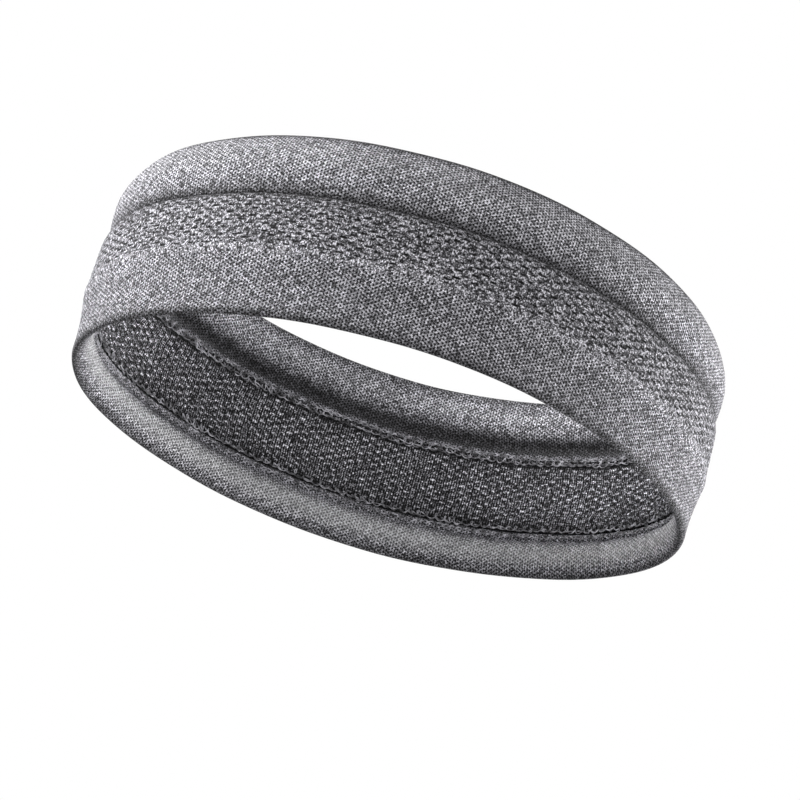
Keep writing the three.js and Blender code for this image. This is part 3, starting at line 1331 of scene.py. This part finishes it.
@dataclass
class Studio:
    """Camera, floor, white surround and soft lights."""

    azimuth: float = 4.6
    elevation: float = -26.3
    roll: float = 16.4
    distance: float = 0.78986
    lens: float = 120.6
    aim_right: float = -0.71
    aim_down: float = 10.14
    floor_half: float = 3.0
    floor_drop: float = 0.05
    floor_full: float = 0.25
    floor_gone: float = 0.70
    glow: float = 0.16
    centre: Vector = field(default_factory=lambda: Vector((0, 0, 0.03)))

    def camera(self) -> None:
        """Sets the camera below the headband, rolled, looking up into it."""
        azimuth, elevation, roll = (math.radians(x) for x in (self.azimuth, self.elevation, self.roll))
        ahead = Vector((
            math.sin(azimuth) * math.cos(elevation),
            math.cos(azimuth) * math.cos(elevation),
            -math.sin(elevation),
        ))
        level_right = ahead.cross(Vector((0, 0, 1))).normalized()
        level_up = level_right.cross(ahead)
        right = level_right * math.cos(roll) + level_up * math.sin(roll)
        up = level_up * math.cos(roll) - level_right * math.sin(roll)
        place = self.centre - ahead * self.distance
        aim = self.centre + right * self.aim_right * MM - up * self.aim_down * MM
        ahead = (aim - place).normalized()
        right = ahead.cross(up).normalized()
        up = right.cross(ahead)
        camera = put("camera", bpy.data.cameras.new("camera"))
        camera.data.lens = self.lens
        camera.data.sensor_width = 36
        camera.data.clip_start = 0.01
        camera.matrix_world = Matrix.Translation(place) @ Matrix((right, up, -ahead)).transposed().to_4x4()
        bpy.context.scene.camera = camera

    def floor(self) -> None:
        """Lays a pale floor that only the camera sees, from above, and that fades out with distance."""
        made = bmesh.new()
        bmesh.ops.create_grid(made, x_segments=1, y_segments=1, size=self.floor_half)
        mesh = bpy.data.meshes.new("floor")
        made.to_mesh(mesh)
        made.free()
        graph = Graph("floor_finish")
        pale = graph.node("ShaderNodeBsdfDiffuse")
        pale.inputs["Color"].default_value = (0.86, 0.86, 0.86, 1)
        clear = graph.node("ShaderNodeBsdfTransparent")
        mix = graph.node("ShaderNodeMixShader")
        below = graph.node("ShaderNodeNewGeometry").outputs["Backfacing"]
        seen = graph.node("ShaderNodeLightPath").outputs["Is Camera Ray"]
        away = graph.node("ShaderNodeVectorMath", operation="LENGTH")
        graph.feed(away.inputs[0], graph.place())
        near = graph.fade(away.outputs["Value"], self.floor_gone, self.floor_full)
        graph.feed(mix.inputs[0], graph.times(seen, near, graph.add(graph.times(below, -1.0), 1.0)))
        graph.feed(mix.inputs[1], clear.outputs[0])
        graph.feed(mix.inputs[2], pale.outputs[0])
        graph.feed(graph.node("ShaderNodeOutputMaterial").inputs[0], mix.outputs[0])
        mesh.materials.append(graph.material)
        mesh.transform(Matrix.Translation((0, 0, -self.floor_drop * MM)))
        floor = put("floor", mesh)

    def light(self, name: str, place: tuple, size: float, power: float) -> None:
        """Adds a square soft light that faces the headband.

        Args:
            name: Name of the light.
            place: Where it stands.
            size: Length of its side.
            power: Watts.
        """
        lamp = bpy.data.lights.new(name, "AREA")
        lamp.size = size
        lamp.energy = power
        holder = put(name, lamp)
        holder.location = place
        holder.rotation_mode = "QUATERNION"
        holder.rotation_quaternion = (self.centre - Vector(place)).to_track_quat("-Z", "Y")

    def surround(self) -> None:
        """White backdrop, with a softer light from all round."""
        world = bpy.data.worlds.new("surround")
        world.use_nodes = True
        tree = world.node_tree
        tree.nodes.clear()
        seen, glow = tree.nodes.new("ShaderNodeBackground"), tree.nodes.new("ShaderNodeBackground")
        seen.inputs["Strength"].default_value = 1.0
        seen.inputs["Color"].default_value = (1, 1, 1, 1)
        glow.inputs["Color"].default_value = (1, 1, 1, 1)
        glow.inputs["Strength"].default_value = self.glow
        path, mix = tree.nodes.new("ShaderNodeLightPath"), tree.nodes.new("ShaderNodeMixShader")
        output = tree.nodes.new("ShaderNodeOutputWorld")
        tree.links.new(path.outputs["Is Camera Ray"], mix.inputs[0])
        tree.links.new(glow.outputs[0], mix.inputs[1])
        tree.links.new(seen.outputs[0], mix.inputs[2])
        tree.links.new(mix.outputs[0], output.inputs[0])
        bpy.context.scene.world = world

    def build(self) -> None:
        """Sets up the whole studio."""
        self.camera()
        self.floor()
        self.surround()
        self.light("left_softbox", (-1.25, 0.12, 0.35), 0.6, 32.0)
        self.light("right_softbox", (1.2, 0.35, 0.35), 0.6, 15.5)
        self.light("front_softbox", (-0.3, -1.4, 0.55), 0.5, 7.6)
        self.light("low_softbox", (0.35, -1.0, -0.75), 0.5, 7.0)
        self.light("inner_softbox", (1.1, 0.45, -0.5), 0.4, 16.0)
        bpy.context.scene.view_settings.view_transform = "Standard"


def main() -> None:
    """Builds the studio and every piece, in order."""
    logging.basicConfig(level=logging.INFO, format="%(message)s")
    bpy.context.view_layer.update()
    Studio().build()
    oval = HeadOval(Anchors.read())
    a = oval.anchors
    hem_yarn = Yarn(dark=0.02, middle=0.20, light=0.95, seed=1.0, flecks=5.0)
    band_yarn = Yarn(dark=0.015, middle=0.18, light=0.90, seed=2.0, flecks=7.0)
    liner_yarn = Yarn(dark=0.012, middle=0.13, light=0.80, seed=3.0, flecks=7.0)
    thread = ThreadFinish(Yarn(dark=0.03, middle=0.20, light=0.68))
    elastic = ElasticFinish(Yarn(dark=0.4, middle=0.6, light=0.75))
    top = TopHem(oval, "top_hem_jersey", "top_hem", Slot.HEM, JerseyFinish(hem_yarn))
    bottom = BottomHem(oval, "bottom_hem_jersey", "bottom_hem", Slot.HEM, JerseyFinish(hem_yarn))
    pieces = [
        top,
        CentreBand(
            oval, "centre_band_tuck_knit", "centre_band", Slot.BAND, TuckFinish(band_yarn),
            thickness=1.3, stations=1072, pitch=0.35, column=2.5, row=2.4, relief_depth=0.18,
        ),
        bottom,
        SweatLiner(
            oval, "sweat_liner_basket_knit", "sweat_liner", Slot.LINER, BasketFinish(liner_yarn),
            thickness=1.2, stations=1072, pitch=0.35, column=2.5, row=2.4, relief_depth=0.3,
        ),
        ElasticTape(
            oval, "top_elastic_tape", "top_elastic", Slot.ELASTIC, elastic, thickness=0.7, stations=240,
            pitch=1.0, column=1.2, row=0.9, hem=top, start=5.0, width=12.0,
        ),
        ElasticTape(
            oval, "bottom_elastic_tape", "bottom_elastic", Slot.ELASTIC, elastic, thickness=0.7, stations=240,
            pitch=1.0, column=1.2, row=0.9, hem=bottom, start=6.0, width=7.0, down=True,
        ),
        SeamThread(
            oval, "upper_seam_loop_thread", "upper_seam_loops", thread, a.upper_seam + 0.2 * MM,
            a.thread_out, pitch=2.9, swing=0.95, rise=1.1, seed=2,
        ),
        ChainThread(
            oval, "upper_seam_chain_thread", "upper_seam_chain", thread,
            a.upper_seam + CHAIN_FROM_SEAM * MM, a.thread_out,
        ),
        SeamThread(
            oval, "lower_seam_loop_thread", "lower_seam_loops", thread, a.lower_seam + 0.5 * MM,
            a.thread_out - 0.1 * MM, pitch=3.1, swing=0.9, rise=1.1,
        ),
        ChainThread(
            oval, "lower_seam_chain_thread", "lower_seam_chain", thread,
            a.lower_seam - CHAIN_FROM_SEAM * MM, a.thread_out,
        ),
    ]
    for piece in pieces:
        made = piece.build()
        LOG.info("%s: %d faces", made.name, len(made.data.polygons))


if __name__ == "__main__":
    main()
